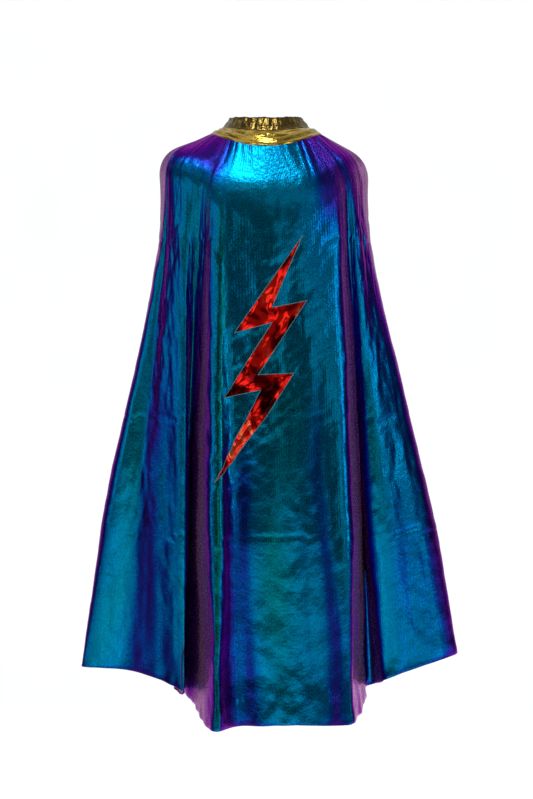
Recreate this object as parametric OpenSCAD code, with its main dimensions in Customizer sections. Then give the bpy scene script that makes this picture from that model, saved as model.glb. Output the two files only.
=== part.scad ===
// Child's superhero cape: a gathered foil cape with a lining, a two-part gold collar that closes
// at the front with hook and loop, and a lightning bolt sewn on the back.
// Frame: origin at the centre of the neck opening, +Z up, -Y behind the wearer, +X at the
// wearer's right. The cape hangs on the shoulders, so nothing touches the floor.

/* [Collar] */
// Radius of the neck opening
neck_r = 44; // [43:0.5:45]
// Height of the inner collar facing
facing_h = 16; // [12:1:16]
// Outer radius of the stand at its top edge
stand_top_r = 46.4; // [46.2:0.1:47]
// Outer radius of the collar at the seam between stand and yoke
seam_r = 54.6; // [53:0.2:57]
// Half width of the yoke's lower edge, side to side
yoke_rx = 69; // [67:1:72]
// Half depth of the yoke's lower edge, front to back
yoke_ry = 72; // [70:1:75]

/* [Fabric] */
// Modelled thickness of the outer cloth
cloth_t = 0.8; // [0.7:0.1:0.9]
// Modelled thickness of the lining and facings
lining_t = 0.6; // [0.5:0.1:0.7]
// Air between two layers of fabric
layer_gap = 0.4; // [0.4:0.1:0.6]

/* [Drape] */
// Radius about the hinge at which the swinging part of the cape begins
split_r = 178; // [176:1:180]
// Steps of the cloth's mesh between two fold lines
fold_steps = 4; // [3:1:4]

/* [Bolt] */
// Thickness of the bolt's foil
bolt_t = 0.7; // [0.5:0.1:0.9]
// Width of the stitched border
border_w = 1.8; // [1.2:0.2:2.4]

/* [Closure] */
// Angle that the closing tab covers, from its fold to its free end
tab_sweep = 46; // [42:1:48]
// Width of a hook or loop patch, as an angle round the collar
patch_sweep = 22; // [16:1:24]

/* [Label] */
// Width of the blank care label
label_w = 28; // [20:1:30]
// Length of the blank care label
label_l = 36; // [24:1:38]

/* [Hidden] */

gold = "goldenrod";
foil = "darkcyan";
lining_colour = "midnightblue";

// Hinge line of the swinging part, across the shoulders
hinge_y = -20;
hinge_z = 20;
// Half of the space left between the still and the swinging cloth
split_gap = 1.5;

// Heights on the collar: at the back, and how much higher at the sides
stand_top_z = 8;
stand_top_rise = 6;
seam_z = -9;
seam_rise = 12;
yoke_z = -30;
yoke_rise = 25;
// The collar's two ends, as angles from the centre of the back
stand_ends = [-165, 172];
yoke_end = 168;
collar_step = 8;
// The facing starts this far below the origin and has this opening at the front
facing_z = -9;
front_gap = 8;

// Fold lines of the hanging cloth, from one front edge round the back to the other. Each has
// its angle at the neck, the point where it turns over the shoulder, and its point at the hem.
FOLDS = [
    [-160, [-48, 76, -70], [-165, 40, -668]],     // left front edge
    [-132, [-94, 66, -46], [-180, 46, -668]],
    [-104, [-131, 22, -30], [-196, 32, -667]],
    [-84, [-122, -60, -38], [-229, -12, -666]],   // outer edge of the left wing
    [-74, [-117, -75, -44], [-172, -18, -669]],
    [-64, [-107, -82, -50], [-134, -42, -677]],
    [-56, [-97, -87, -56], [-97, -60, -690]],     // small fold
    [-52, [-87, -91, -61], [-104, -34, -694]],
    [-48, [-78, -93, -67], [-110, 4, -696]],      // left valley
    [-44, [-70, -96, -74], [-93, -36, -706]],
    [-38, [-63, -98, -82], [-63, -147, -716]],    // left ridge
    [-34, [-56, -101, -87], [-53, -149, -716]],
    [-26, [-42, -105, -93], [-29, -121, -716]],
    [-8, [-8, -110, -102], [-2, -120, -716]],
    [8, [22, -109, -101], [34, -121, -715]],
    [26, [50, -104, -92], [72, -133, -713]],
    [44, [80, -91, -74], [101, -144, -708]],      // right ridge
    [50, [88, -86, -66], [118, -80, -704]],
    [54, [95, -80, -60], [130, -8, -690]],        // right valley
    [60, [102, -76, -54], [140, -46, -678]],
    [72, [110, -65, -48], [184, -38, -663]],
    [84, [116, -46, -42], [237, -14, -649]],      // outer edge of the right wing
    [104, [126, 24, -37], [200, 32, -655]],
    [132, [94, 66, -50], [184, 46, -656]],
    [160, [48, 76, -72], [168, 40, -657]]         // right front edge
];
LAST = len(FOLDS) - 1;

// Shares of a fold line's length: end of the slope off the collar, end of the bend over the
// shoulder, end of the run down the chest, end of the bend where the cape starts to flare
BENDS = [0.07, 0.17, 0.20, 0.34];
// How near each bend starts and ends to its corner point
shoulder_in = 0.60;
shoulder_out = 0.30;
chest_in = 0.35;
chest_out = 0.12;
// The flare starts at this share of the way from shoulder to hem, pulled in at the sides
chest_share = 0.15;
chest_pull = 20;
pull_from = 110;
pull_over = 44;

// Outline of the lightning bolt on the back, as [x, z], clockwise from its top
BOLT = [[43, -142], [7, -227], [48, -219], [-9, -306], [33, -304], [0, -356], [-27, -391],
        [-59, -432], [-38, -384], [-24, -360], [-6, -324], [-49, -333], [7, -245], [-37, -257]];
// Stretch of the back that the bolt lies on: fold line numbers, then shares of their length
BOLT_SPAN = [10.5, 15.9, 0.195, 0.63];

// Surfaces that layers of fabric follow
CLOTH = 0;
STAND = 1;
YOKE = 2;

function mix(a, b, t) = a + (b - a) * t;
function bend(a, b, c, t) = (1 - t) * (1 - t) * a + 2 * t * (1 - t) * b + t * t * c;
function ring_point(a, rx, ry, z_back, rise) =
    [rx * sin(a), -ry * cos(a), z_back + rise * pow(sin(a), 2)];
function neck_edge(a) = ring_point(a, yoke_rx, yoke_ry, yoke_z, yoke_rise);
function seam_edge(a) = ring_point(a, seam_r, seam_r, seam_z, seam_rise);
function top_edge(a) = ring_point(a, stand_top_r, stand_top_r, stand_top_z, stand_top_rise);

// Where a fold line starts to flare
function chest_point(s, h) =
    let (p = mix(s, h, chest_share),
         pull = chest_pull * min(1, max(0, (abs(p[0]) - pull_from) / pull_over)))
    [p[0] - sign(p[0]) * pull, p[1], p[2]];

// Point on fold line i at share v of its length, 0 at the neck and 1 at the hem
function fold_point(i, v) =
    let (n = neck_edge(FOLDS[i][0]),
         s = FOLDS[i][1],
         h = FOLDS[i][2],
         c = chest_point(s, h),
         a = mix(n, s, shoulder_in),
         b = mix(s, c, shoulder_out),
         e = mix(c, s, chest_in),
         f = mix(c, h, chest_out))
    v < BENDS[0] ? mix(n, a, v / BENDS[0]) :
    v < BENDS[1] ? bend(a, s, b, (v - BENDS[0]) / (BENDS[1] - BENDS[0])) :
    v < BENDS[2] ? mix(b, e, (v - BENDS[1]) / (BENDS[2] - BENDS[1])) :
    v < BENDS[3] ? bend(e, c, f, (v - BENDS[2]) / (BENDS[3] - BENDS[2])) :
    mix(f, h, (v - BENDS[3]) / (1 - BENDS[3]));

// Spacing of the fold lines along the curve that joins them
function spacing(i) = sqrt(norm(FOLDS[i + 1][2] - FOLDS[i][2]));
KNOTS = [for (i = 0, k = 0; i <= LAST; k = k + (i < LAST ? spacing(i) : 0), i = i + 1) k];

// Smooth curve through p1 and p2 with the spacings ka, kb and kc between the four points
function smooth_point(p0, p1, p2, p3, ka, kb, kc, t) =
    let (m1 = ((p1 - p0) / ka * kb + (p2 - p1) / kb * ka) / (ka + kb),
         m2 = ((p2 - p1) / kb * kc + (p3 - p2) / kc * kb) / (kb + kc),
         t2 = t * t,
         t3 = t2 * t)
    (2 * t3 - 3 * t2 + 1) * p1 + (t3 - 2 * t2 + t) * kb * m1
    + (3 * t2 - 2 * t3) * p2 + (t3 - t2) * kb * m2;

// Point of the cloth at fold line number u, which may lie between two lines
function cloth_point(u, v) =
    let (i = min(floor(u), LAST - 1),
         p1 = fold_point(i, v),
         p2 = fold_point(i + 1, v),
         p0 = i > 0 ? fold_point(i - 1, v) : 2 * p1 - p2,
         p3 = i + 2 <= LAST ? fold_point(i + 2, v) : 2 * p2 - p1,
         kb = KNOTS[i + 1] - KNOTS[i],
         ka = i > 0 ? KNOTS[i] - KNOTS[i - 1] : kb,
         kc = i + 2 <= LAST ? KNOTS[i + 2] - KNOTS[i + 1] : kb)
    smooth_point(p0, p1, p2, p3, ka, kb, kc, u - i);

function surface_point(kind, u, v) =
    kind == CLOTH ? cloth_point(u, v) :
    kind == STAND ? mix(top_edge(u), seam_edge(u), v) :
    mix(seam_edge(u), neck_edge(u), v);

// Direction away from the wearer
function outward(kind, u, v) =
    let (du = kind == CLOTH ? 0.02 : 0.5,
         dv = 0.005,
         lo = kind == CLOTH ? 0 : -200,
         hi = kind == CLOTH ? LAST : 200,
         across = surface_point(kind, min(u + du, hi), v) - surface_point(kind, max(u - du, lo), v),
         down = surface_point(kind, u, min(v + dv, 1)) - surface_point(kind, u, max(v - dv, 0)),
         n = cross(down, across))
    n / norm(n);
function layer_point(kind, u, v, d) = surface_point(kind, u, v) + d * outward(kind, u, v);

// Closed sheet between the distances d0 and d1 from a surface. The grid is a list of rows from
// the top down, each a list of [u, v, extra distance].
module sheet(kind, grid, d0, d1) {
    rows = len(grid);
    cols = len(grid[0]);
    inner = [for (row = grid) for (g = row) layer_point(kind, g[0], g[1], d0 + g[2])];
    outer = [for (row = grid) for (g = row) layer_point(kind, g[0], g[1], d1 + g[2])];
    n = rows * cols;
    function at(j, i) = j * cols + i;
    function quad(a, b, c, d) = [[a, b, c], [a, c, d]];
    faces = [
        for (j = [0:rows - 2]) for (i = [0:cols - 2])
            each quad(n + at(j, i), n + at(j, i + 1), n + at(j + 1, i + 1), n + at(j + 1, i)),
        for (j = [0:rows - 2]) for (i = [0:cols - 2])
            each quad(at(j, i), at(j + 1, i), at(j + 1, i + 1), at(j, i + 1)),
        for (i = [0:cols - 2])
            each quad(n + at(0, i + 1), n + at(0, i), at(0, i), at(0, i + 1)),
        for (i = [0:cols - 2])
            each quad(n + at(rows - 1, i), n + at(rows - 1, i + 1), at(rows - 1, i + 1),
                      at(rows - 1, i)),
        for (j = [0:rows - 2])
            each quad(n + at(j, 0), n + at(j + 1, 0), at(j + 1, 0), at(j, 0)),
        for (j = [0:rows - 2])
            each quad(n + at(j + 1, cols - 1), n + at(j, cols - 1), at(j, cols - 1),
                      at(j + 1, cols - 1))
    ];
    polyhedron(points = concat(inner, outer), faces = faces, convexity = 10);
}

function steps(a, b, n) = [for (k = [0:n]) mix(a, b, k / n)];
function plain_grid(us, vs) = [for (v = vs) [for (u = us) [u, v, 0]]];

// Share of a fold line's length at which it is at radius r from the hinge
function hinge_distance(u, v) = norm([cloth_point(u, v)[1] - hinge_y, cloth_point(u, v)[2] - hinge_z]);
function share_at(u, r, lo = 0.02, hi = 0.5, left = 18) =
    left == 0 ? (lo + hi) / 2 :
    let (m = (lo + hi) / 2)
    hinge_distance(u, m) < r ? share_at(u, r, m, hi, left - 1) : share_at(u, r, lo, m, left - 1);

FOLD_US = [for (i = [0:LAST * fold_steps]) i / fold_steps];
SPLIT_TOP = [for (u = FOLD_US) share_at(u, split_r - split_gap)];
SPLIT_LOW = [for (u = FOLD_US) share_at(u, split_r + split_gap)];
shoulder_rows = 10;
DRAPE_ROWS = [0, 0.06, 0.12, 0.19, 0.35, 0.51, 0.67, 0.84, 1];
// The cloth starts this share of its length below the yoke's edge
neck_start = 0.004;
SHOULDER_GRID = [for (j = [0:shoulder_rows]) [for (i = [0:len(FOLD_US) - 1])
    [FOLD_US[i], mix(neck_start, SPLIT_TOP[i], j / shoulder_rows), 0]]];
DRAPE_GRID = [for (s = DRAPE_ROWS) [for (i = [0:len(FOLD_US) - 1])
    [FOLD_US[i], mix(SPLIT_LOW[i], 1, s), 0]]];

// Depths of the layers below the outer surface
lining_top = -cloth_t - layer_gap;
lining_low = lining_top - lining_t;
core_t = 0.4;

function band_grid(a0, a1, v0, v1, rows) =
    plain_grid(steps(a0, a1, ceil(abs(a1 - a0) / collar_step)), steps(v0, v1, rows));

// ---- collar ----
module collar_stand() {
    color(gold) sheet(STAND, band_grid(stand_ends[0], stand_ends[1], 0, 0.97, 2), -cloth_t, 0);
}

module collar_interfacing() {
    color("white")
        sheet(STAND, band_grid(stand_ends[0], stand_ends[1], 0.22, 0.92, 2), lining_top - core_t,
              lining_top);
}

// The facing's inner wall is the neck opening
module collar_facing() {
    color(gold) difference() {
        translate([0, 0, facing_z]) cylinder(h = facing_h, r = neck_r + lining_t, $fn = 96);
        translate([0, 0, facing_z - 1]) cylinder(h = facing_h + 2, r = neck_r, $fn = 96);
        translate([-front_gap / 2, neck_r / 2, facing_z - 1])
            cube([front_gap, neck_r, facing_h + 2]);
    }
}

yoke_span = [0.04, 0.95];
module yoke_layer(d0, d1) {
    sheet(YOKE, band_grid(-yoke_end, yoke_end, yoke_span[0], yoke_span[1], 2), d0, d1);
}
module collar_yoke() {
    color(gold) yoke_layer(-cloth_t, 0);
}
module yoke_interfacing() {
    color("white") yoke_layer(lining_top - core_t, lining_top);
}
module yoke_facing() {
    color(gold)
        yoke_layer(lining_top - core_t - layer_gap - lining_t, lining_top - core_t - layer_gap);
}

// Tape that covers the neck seam's raw edges on the inside
tape_d = -3.6;
module neck_seam_tape() {
    color(lining_colour) sheet(YOKE, band_grid(-yoke_end, yoke_end, 0.62, 0.98, 1), tape_d - lining_t,
                        tape_d);
}

// ---- cape ----
module cape_shoulders() {
    color(foil) sheet(CLOTH, SHOULDER_GRID, -cloth_t, 0);
}
module lining_shoulders() {
    color(lining_colour) sheet(CLOTH, SHOULDER_GRID, lining_low, lining_top);
}
module cape_drape() {
    color(foil) sheet(CLOTH, DRAPE_GRID, -cloth_t, 0);
}
module lining_drape() {
    color(lining_colour) sheet(CLOTH, DRAPE_GRID, lining_low, lining_top);
}

// ---- lightning bolt ----
BOLT_GRID = plain_grid(steps(BOLT_SPAN[0], BOLT_SPAN[1], 18), steps(BOLT_SPAN[2], BOLT_SPAN[3], 14));
bolt_d = 0.3;
border_d = bolt_d + bolt_t + 0.2;
border_t = 0.5;
// A prism along Y over the whole depth of the back
module back_prism() {
    rotate([90, 0, 0]) translate([0, 0, 60]) linear_extrude(120) children();
}
module lightning_bolt() {
    color("crimson") intersection() {
        sheet(CLOTH, BOLT_GRID, bolt_d, bolt_d + bolt_t);
        back_prism() polygon(BOLT);
    }
}
module bolt_border() {
    color("paleturquoise") intersection() {
        sheet(CLOTH, BOLT_GRID, border_d, border_d + border_t);
        back_prism() difference() {
            offset(r = border_w / 2, $fn = 16) polygon(BOLT);
            offset(delta = -border_w / 2) polygon(BOLT);
        }
    }
}

// ---- front closure ----
// Angles round the collar; the tab folds at its own end of the stand and covers the other end
tab_fold = stand_ends[0] + 360;
tab_start = tab_fold - 1.7;
tab_end = tab_fold - tab_sweep;
patch_start = tab_end + 2;
PATCH_V = [0.14, 0.84];
loop_d = 0.3;
patch_t = 1.2;
hook_d = loop_d + patch_t + 0.4;
hook_t = 1;
tab_d = hook_d + hook_t + 0.3;
// The tab rises from the stand's own level to tab_d over this angle
tab_rise = 12;
function tab_depth(a) = mix(0, tab_d, min(1, (tab_start - a) / tab_rise));

module patch(d, t) {
    sheet(STAND, band_grid(patch_start, patch_start + patch_sweep, PATCH_V[0], PATCH_V[1], 1), d, d + t);
}
module loop_patch() {
    color("dimgray") patch(loop_d, patch_t);
}
module hook_patch() {
    color("gray") patch(hook_d, hook_t);
}

module closure_tab() {
    us = steps(tab_start, tab_end, 10);
    grid = [for (v = [0.04, 0.5, 0.95]) [for (u = us) [u, v, tab_depth(u)]]];
    color(gold) sheet(STAND, grid, 0, cloth_t);
}

// A short round stitch between two points
module stitch(p, q, r) {
    d = q - p;
    translate(p) rotate([0, acos(d[2] / norm(d)), atan2(d[1], d[0])])
        cylinder(h = norm(d), r = r, $fn = 16);
}
stitch_r = 0.15;
stitch_l = 2.4;
// Rows of stitches along the two long sides of a patch, on its surface
module patch_stitches(d) {
    arc = stitch_l / seam_r * 180 / PI;
    inset = 0.06;
    n = floor(patch_sweep / (arc * 1.5)) - 1;
    for (v = [PATCH_V[0] + inset, PATCH_V[1] - inset]) for (k = [0:n]) {
        a = patch_start + 1 + k * arc * 1.5;
        stitch(layer_point(STAND, a, v, d), layer_point(STAND, a + arc, v, d), stitch_r);
    }
}
module loop_patch_stitches() {
    color(gold) patch_stitches(loop_d + patch_t + stitch_r + 0.02);
}
module hook_patch_stitches() {
    color(gold) patch_stitches(tab_d + cloth_t + stitch_r + 0.1);
}

// ---- care label ----
label_y = -65;
label_z = -36;
label_t = 0.5;
module care_label() {
    color("white") translate([-label_w / 2, label_y, label_z - label_l])
        cube([label_w, label_t, label_l]);
}
module care_label_stitches() {
    color("gray") for (x = [-label_w / 2 + 2 : 4 : label_w / 2 - 4])
        translate([x, label_y + label_t + stitch_r + 0.02, label_z - 2]) rotate([0, 90, 0])
            cylinder(h = stitch_l, r = stitch_r, $fn = 16);
}

collar_stand();
collar_interfacing();
collar_facing();
collar_yoke();
yoke_interfacing();
yoke_facing();
neck_seam_tape();
cape_shoulders();
lining_shoulders();
loop_patch();
loop_patch_stitches();
cape_drape();
lining_drape();
lightning_bolt();
bolt_border();
closure_tab();
hook_patch();
hook_patch_stitches();
care_label();
care_label_stitches();
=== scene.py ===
"""Looks of a child's superhero cape: gathered iridescent foil cloth with a lining, a two-part gold
collar that closes at the front with hook and loop, and a lightning bolt sewn on the back.

The cloth's shape follows the same fold lines as the CAD part, so every layer lies where its CAD
solid does. Sizes are in millimetres and are turned into metres when a mesh is made.
"""

import math

import bpy
import numpy as np
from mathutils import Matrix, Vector, noise
from mathutils.geometry import delaunay_2d_cdt


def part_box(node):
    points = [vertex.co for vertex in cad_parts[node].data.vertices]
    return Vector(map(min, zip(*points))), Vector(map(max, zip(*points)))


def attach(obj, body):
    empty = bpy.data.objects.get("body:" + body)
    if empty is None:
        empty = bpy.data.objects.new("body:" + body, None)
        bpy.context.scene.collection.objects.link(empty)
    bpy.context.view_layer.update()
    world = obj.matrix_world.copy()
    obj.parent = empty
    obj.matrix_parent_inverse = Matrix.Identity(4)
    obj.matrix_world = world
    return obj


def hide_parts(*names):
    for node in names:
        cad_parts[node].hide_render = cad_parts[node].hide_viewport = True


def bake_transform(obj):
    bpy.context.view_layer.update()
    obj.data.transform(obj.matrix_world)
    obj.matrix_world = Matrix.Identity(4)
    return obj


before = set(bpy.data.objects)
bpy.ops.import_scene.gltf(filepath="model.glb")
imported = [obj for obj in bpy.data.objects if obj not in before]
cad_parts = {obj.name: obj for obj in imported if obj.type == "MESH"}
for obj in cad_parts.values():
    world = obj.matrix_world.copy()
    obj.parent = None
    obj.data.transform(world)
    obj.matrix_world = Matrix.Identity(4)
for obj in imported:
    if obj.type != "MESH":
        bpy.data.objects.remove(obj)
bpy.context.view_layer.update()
MM = 0.001

# ---------------------------------------------------------------------------------------------
# The cloth's surface, as in the CAD part
# ---------------------------------------------------------------------------------------------

# Angle at the neck, the point where the line turns over the shoulder, and its point at the hem
FOLDS = [
    [-160, [-48, 76, -70], [-165, 40, -668]],
    [-132, [-94, 66, -46], [-180, 46, -668]],
    [-104, [-131, 22, -30], [-196, 32, -667]],
    [-84, [-122, -60, -38], [-229, -12, -666]],
    [-74, [-117, -75, -44], [-172, -18, -669]],
    [-64, [-107, -82, -50], [-134, -42, -677]],
    [-56, [-97, -87, -56], [-97, -60, -690]],
    [-52, [-87, -91, -61], [-104, -34, -694]],
    [-48, [-78, -93, -67], [-110, 4, -696]],
    [-44, [-70, -96, -74], [-93, -36, -706]],
    [-38, [-63, -98, -82], [-63, -147, -716]],
    [-34, [-56, -101, -87], [-53, -149, -716]],
    [-26, [-42, -105, -93], [-29, -121, -716]],
    [-8, [-8, -110, -102], [-2, -120, -716]],
    [8, [22, -109, -101], [34, -121, -715]],
    [26, [50, -104, -92], [72, -133, -713]],
    [44, [80, -91, -74], [101, -144, -708]],
    [50, [88, -86, -66], [118, -80, -704]],
    [54, [95, -80, -60], [130, -8, -690]],
    [60, [102, -76, -54], [140, -46, -678]],
    [72, [110, -65, -48], [184, -38, -663]],
    [84, [116, -46, -42], [237, -14, -649]],
    [104, [126, 24, -37], [200, 32, -655]],
    [132, [94, 66, -50], [184, 46, -656]],
    [160, [48, 76, -72], [168, 40, -657]],
]
LAST = len(FOLDS) - 1
# Shares of a line's length between which it turns over the shoulder, and then at the chest
BENDS = [0.07, 0.17, 0.20, 0.34]
# Where each turn starts and ends, as shares of the way to the points before and after it
SHOULDER_IN, SHOULDER_OUT, CHEST_IN, CHEST_OUT = 0.60, 0.30, 0.35, 0.12
# The chest's points lie this share of the way to the hem, and the outermost are drawn inward
CHEST_SHARE, CHEST_PULL, PULL_FROM, PULL_OVER = 0.15, 20, 110, 44
NECK_START = 0.0012  # share of the length at which the cloth comes out from under the yoke

# Rings of the collar: half width, half depth, height at the back, rise at the sides
TOP_RING = (46.4, 46.4, 8, 6)
SEAM_RING = (54.6, 54.6, -9, 12)
NECK_RING = (69, 72, -30, 25)
# Angles at which the collar's bands end at the front
STAND_ENDS = (-165, 172)
YOKE_END = 168


def ring(angle, shape):
    """Points at these angles, in degrees from the centre back, on one of the collar's rings."""
    half_x, half_y, height, rise = shape
    a = np.radians(angle)
    return np.stack([half_x * np.sin(a), -half_y * np.cos(a), height + rise * np.sin(a) ** 2], -1)


def mix(a, b, t):
    return a + (b - a) * t


NECK_ANGLES = np.array([f[0] for f in FOLDS], float)
NECK = ring(NECK_ANGLES, NECK_RING)
SHOULDER = np.array([f[1] for f in FOLDS], float)
HEM = np.array([f[2] for f in FOLDS], float)
CHEST = mix(SHOULDER, HEM, CHEST_SHARE)
CHEST[:, 0] -= (np.sign(CHEST[:, 0]) * CHEST_PULL
                * np.clip((np.abs(CHEST[:, 0]) - PULL_FROM) / PULL_OVER, 0, 1))
KNOTS = np.concatenate([[0], np.cumsum(np.sqrt(np.linalg.norm(np.diff(HEM, axis=0), axis=1)))])


def fold_points(i, v):
    """Points on fold lines i at shares v of their length, 0 at the neck and 1 at the hem."""
    v = v[:, None]
    n, s, h, c = NECK[i], SHOULDER[i], HEM[i], CHEST[i]
    a, b = mix(n, s, SHOULDER_IN), mix(s, c, SHOULDER_OUT)
    e, f = mix(c, s, CHEST_IN), mix(c, h, CHEST_OUT)

    def share(lo, hi):
        return np.clip((v - lo) / (hi - lo), 0, 1)

    def bent(p, q, r, t):
        return (1 - t) ** 2 * p + 2 * t * (1 - t) * q + t * t * r

    b1, b2, b3, b4 = BENDS
    return np.where(v < b1, mix(n, a, v / b1),
           np.where(v < b2, bent(a, s, b, share(b1, b2)),
           np.where(v < b3, mix(b, e, share(b2, b3)),
           np.where(v < b4, bent(e, c, f, share(b3, b4)), mix(f, h, (v - b4) / (1 - b4))))))


def cloth_points(u, v):
    """Points of the cloth at fold line numbers u, which may lie between lines, and shares v."""
    i = np.clip(np.floor(u).astype(int), 0, LAST - 1)
    t = (u - i)[:, None]
    p1, p2 = fold_points(i, v), fold_points(i + 1, v)
    first, last = (i == 0)[:, None], (i == LAST - 1)[:, None]
    before, after = np.maximum(i - 1, 0), np.minimum(i + 2, LAST)
    p0 = np.where(first, 2 * p1 - p2, fold_points(before, v))
    p3 = np.where(last, 2 * p2 - p1, fold_points(after, v))
    kb = (KNOTS[i + 1] - KNOTS[i])[:, None]
    ka = np.where(first, kb, (KNOTS[i] - KNOTS[before])[:, None])
    kc = np.where(last, kb, (KNOTS[after] - KNOTS[i + 1])[:, None])
    m1 = ((p1 - p0) / ka * kb + (p2 - p1) / kb * ka) / (ka + kb)
    m2 = ((p2 - p1) / kb * kc + (p3 - p2) / kc * kb) / (kb + kc)
    t2, t3 = t * t, t ** 3
    return ((2 * t3 - 3 * t2 + 1) * p1 + (t3 - 2 * t2 + t) * kb * m1
            + (3 * t2 - 2 * t3) * p2 + (t3 - t2) * kb * m2)


def ruffle(a):
    """How far the stand's top edge rises and dips."""
    return (0.7 * rough(a / 11, 0.5, 44) + 0.35 * rough(a / 4, 0.5, 45))[:, None] * [0, 0, 1]


def stand_points(a, v):
    v = v[:, None]
    return mix(ring(a, TOP_RING), ring(a, SEAM_RING), v) + ruffle(a) * (1 - v) ** 2


def yoke_points(a, v):
    return mix(ring(a, SEAM_RING), ring(a, NECK_RING), v[:, None])


def unit(vectors):
    return vectors / np.maximum(np.linalg.norm(vectors, axis=-1, keepdims=True), 1e-12)


def outward(surface, u, v):
    """Directions away from the wearer. u is a fold line's number on the cloth, and an angle or a
    distance on the other surfaces."""
    cloth = surface is cloth_points
    du, dv = (0.02 if cloth else 0.5), 0.005
    lo, hi = (0, LAST) if cloth else (-400, 400)
    across = surface(np.minimum(u + du, hi), v) - surface(np.maximum(u - du, lo), v)
    down = surface(u, np.minimum(v + dv, 1)) - surface(u, np.maximum(v - dv, 0))
    return unit(np.cross(down, across))


# ---------------------------------------------------------------------------------------------
# Wrinkles
# ---------------------------------------------------------------------------------------------

def smooth(x, lo, hi):
    t = np.clip((x - lo) / (hi - lo), 0, 1)
    return t * t * (3 - 2 * t)


def rough(x, y, seed):
    """Smooth noise from -1 to 1 with one bump or so for each unit of x and y."""
    x, y = np.broadcast_arrays(x, y)
    z = seed * 7.31
    values = [noise.noise((a + z, b - z, z)) for a, b in zip(x.ravel().tolist(), y.ravel().tolist())]
    return np.array(values).reshape(x.shape) * 1.4


FINE_U = np.linspace(0, LAST, LAST * 24 + 1)


def running_length(v):
    """Distance along the cloth from the left front edge, at each of FINE_U, at share v."""
    line = cloth_points(FINE_U, np.full(len(FINE_U), v))
    return np.concatenate([[0], np.cumsum(np.linalg.norm(np.diff(line, axis=0), axis=1))])


HEM_LENGTH = running_length(1.0)
CHEST_LENGTH = running_length(0.35)
DROP = 690  # length of the cloth from the neck seam to the hem
CREASES = [-142, -357, -497]  # heights of the creases left by folding the cape flat
CREASE_DEPTH, CREASE_WIDTH = 1.2, 2.6
WING_FROM, WING_TO = 56, 70  # angles between which the back turns into a wing
WING_CALM = 0.55  # share of the long pulls that a wing lacks
PUCKER_REACH = 24  # how far the bolt's stitches pucker the cloth round it
TUCK, TUCK_OVER = 8, 160  # how far the cloth falls in below its lowest crease, and over what height


def cloth_wrinkles(u, v):
    """Height of the cloth's own wrinkles above its fold lines."""
    s = np.interp(u, FINE_U, HEM_LENGTH)
    angle = np.interp(u, np.arange(LAST + 1), NECK_ANGLES)
    t = v * DROP
    z = fold_points(np.clip(np.round(u).astype(int), 0, LAST), v)[:, 2]
    wing = smooth(np.abs(angle), WING_FROM, WING_TO)
    return (gathers(angle, t) + pulls(s, t) * (1 - WING_CALM * wing) - creases(s, z) + crumples(s, t)
            + hem_waves(s, t) + clouds(s, t) + panel(z, wing) + puckers(cloth_points(u, v)))


def gathers(angle, t):
    """Small pleats that run down from the neck seam, faint at the centre back and on the left."""
    side = (0.15 + 0.85 * smooth(np.abs(angle), 14, 40)) * (0.6 + 0.4 * smooth(angle, -15, 10))
    reach = 30 + 34 * rough(angle / 5, 0.3, 1)
    swell = (0.3 + 0.7 * smooth(t, 0, 9)) * np.exp(-t / np.maximum(reach, 8))
    wander = 2.4 * rough(angle / 13, t / 70, 2)
    turn = np.radians(angle)
    pleats = 1.9 * (np.abs(np.sin(turn * 27 + wander)) - 0.55)
    return side * swell * (pleats + 0.8 * np.sin(turn * 83 + 2 * wander) * np.exp(-t / 12))


def pulls(s, t):
    """Long soft waves that hang down the cloth."""
    sway = 0.12 * rough(s / 90, t / 240, 3)
    waves = 2.0 * rough(s / 44 + sway, t / 620, 4) + 0.8 * rough(s / 19, t / 330, 5)
    return smooth(t, 110, 480) * waves


def creases(s, z):
    """Depth of the level creases left by folding the cape flat."""
    folds = np.zeros_like(s)
    for k, height in enumerate(CREASES):
        away = z - height - 4 * rough(s / 80, 0.5, 6 + k)
        folds += (0.5 + 0.5 * rough(s / 45, 1.5, 9 + k)) * np.exp(-(away / CREASE_WIDTH) ** 2)
    return CREASE_DEPTH * folds


def crumples(s, t):
    """Fine crumpling, which comes and goes in patches."""
    patchy = 0.55 + 0.45 * rough(s / 70, t / 90, 12)
    return (patchy * (0.85 * rough(s / 17, t / 26, 13) + 0.50 * rough(s / 8, t / 11, 14))
            * smooth(t, 30, 120))


def hem_waves(s, t):
    """The hem sways in and out."""
    return np.exp(-(DROP - t) / 38) * rough(s / 15 + t / 60, t / 26, 15)


def clouds(s, t):
    """Broad hollows and swellings that break up the shine."""
    broad = 1.6 * rough(s / 75, t / 130, 16) + 0.7 * rough(s / 38, t / 60, 17)
    return smooth(t, 60, 200) * broad


def puckers(points):
    """Slanting puckers drawn up in the cloth by the stitches round the bolt."""
    x, z = points[:, 0], points[:, 2]
    along, across = 0.8 * x + 0.6 * z, 0.8 * z - 0.6 * x
    away = distance_to_outline(points[:, [0, 2]], BOLT)
    near = np.exp(-(away / PUCKER_REACH) ** 2) * (points[:, 1] < 0)
    return near * (0.7 * rough(across / 8, along / 22, 60) + 0.4 * rough(across / 4.5, along / 11, 61))


def panel(z, wing):
    """The cloth swells a little above its lowest crease and falls in below it, more on the wings."""
    swell = (3 + 5 * wing) * smooth(-z, 140, 500)
    tuck = TUCK * np.clip((CREASES[-1] - z) / TUCK_OVER, 0, 1)
    return swell - tuck + 2 * smooth(-z, 660, 716)


def stand_wrinkles(a, v):
    """Crinkles of the collar's stand, which run up and down and are deepest at its top."""
    x = np.radians(a) * 50
    deep = 0.5 + 0.5 * (1 - v)
    return deep * (0.75 * rough(x / 5.5, v * 1.3, 20) + 0.42 * rough(x / 2.6, v * 2.2, 21)
                   + 0.4 * rough(x / 14, v * 0.8, 22))


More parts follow.
